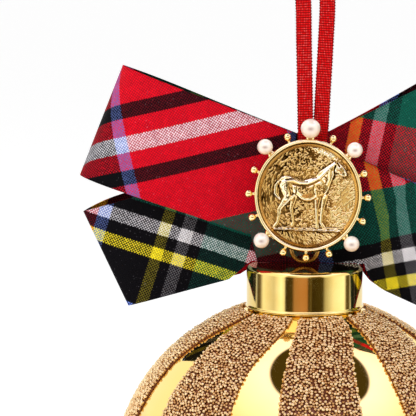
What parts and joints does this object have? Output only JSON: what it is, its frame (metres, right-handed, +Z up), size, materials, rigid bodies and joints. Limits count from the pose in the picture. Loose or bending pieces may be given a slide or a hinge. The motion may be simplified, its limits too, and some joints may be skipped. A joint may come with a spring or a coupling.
{
  "type": "horse christmas ornament",
  "caption": "Gold ball ornament with beaded stripes, polished cap, tartan ribbon bow and an oval horse medallion set with pearls, on a red ribbon loop.",
  "frame": {"origin": "top inside of the ribbon loop, where a hook or twig carries it", "axes": "+Z up along the ball's axis, -Y out of the medallion's face, +X to the right seen from the front"},
  "size_m": [0.1184, 0.1016, 0.1995],
  "materials": {
    "gold_mirror": "gold mirror coating on glass, high gloss",
    "gold_cap": "polished",
    "bead_gold": "champagne gold seed beads glued at random, dark in the gaps",
    "steel_ring": "plain wire ring",
    "old_gold": "cast, gold plated, dark patina in the hollows, polished on the high places",
    "pearl": "pearl lustre",
    "tartan": "woven tartan twill ribbon, red, green, black, navy, white and yellow",
    "red_ribbon": "narrow woven ribbon with picot edges"
  },
  "bodies": {
    "root": {"ball": "gold_mirror", "cap": "gold_cap", "cap_ring": "steel_ring", "bead_stripe_1": "bead_gold", "bead_stripe_2": "bead_gold", "bead_stripe_3": "bead_gold", "bead_stripe_4": "bead_gold", "bead_stripe_5": "bead_gold", "bead_stripe_6": "bead_gold", "bead_stripe_7": "bead_gold", "bead_stripe_8": "bead_gold", "medallion": "old_gold", "pearl_top": "pearl", "pearl_upper_left": "pearl", "pearl_lower_left": "pearl", "pearl_lower_right": "pearl", "pearl_upper_right": "pearl", "bow_band_front": "tartan", "bow_band_back": "tartan", "hanging_ribbon": "red_ribbon"}
  },
  "joints": []
}
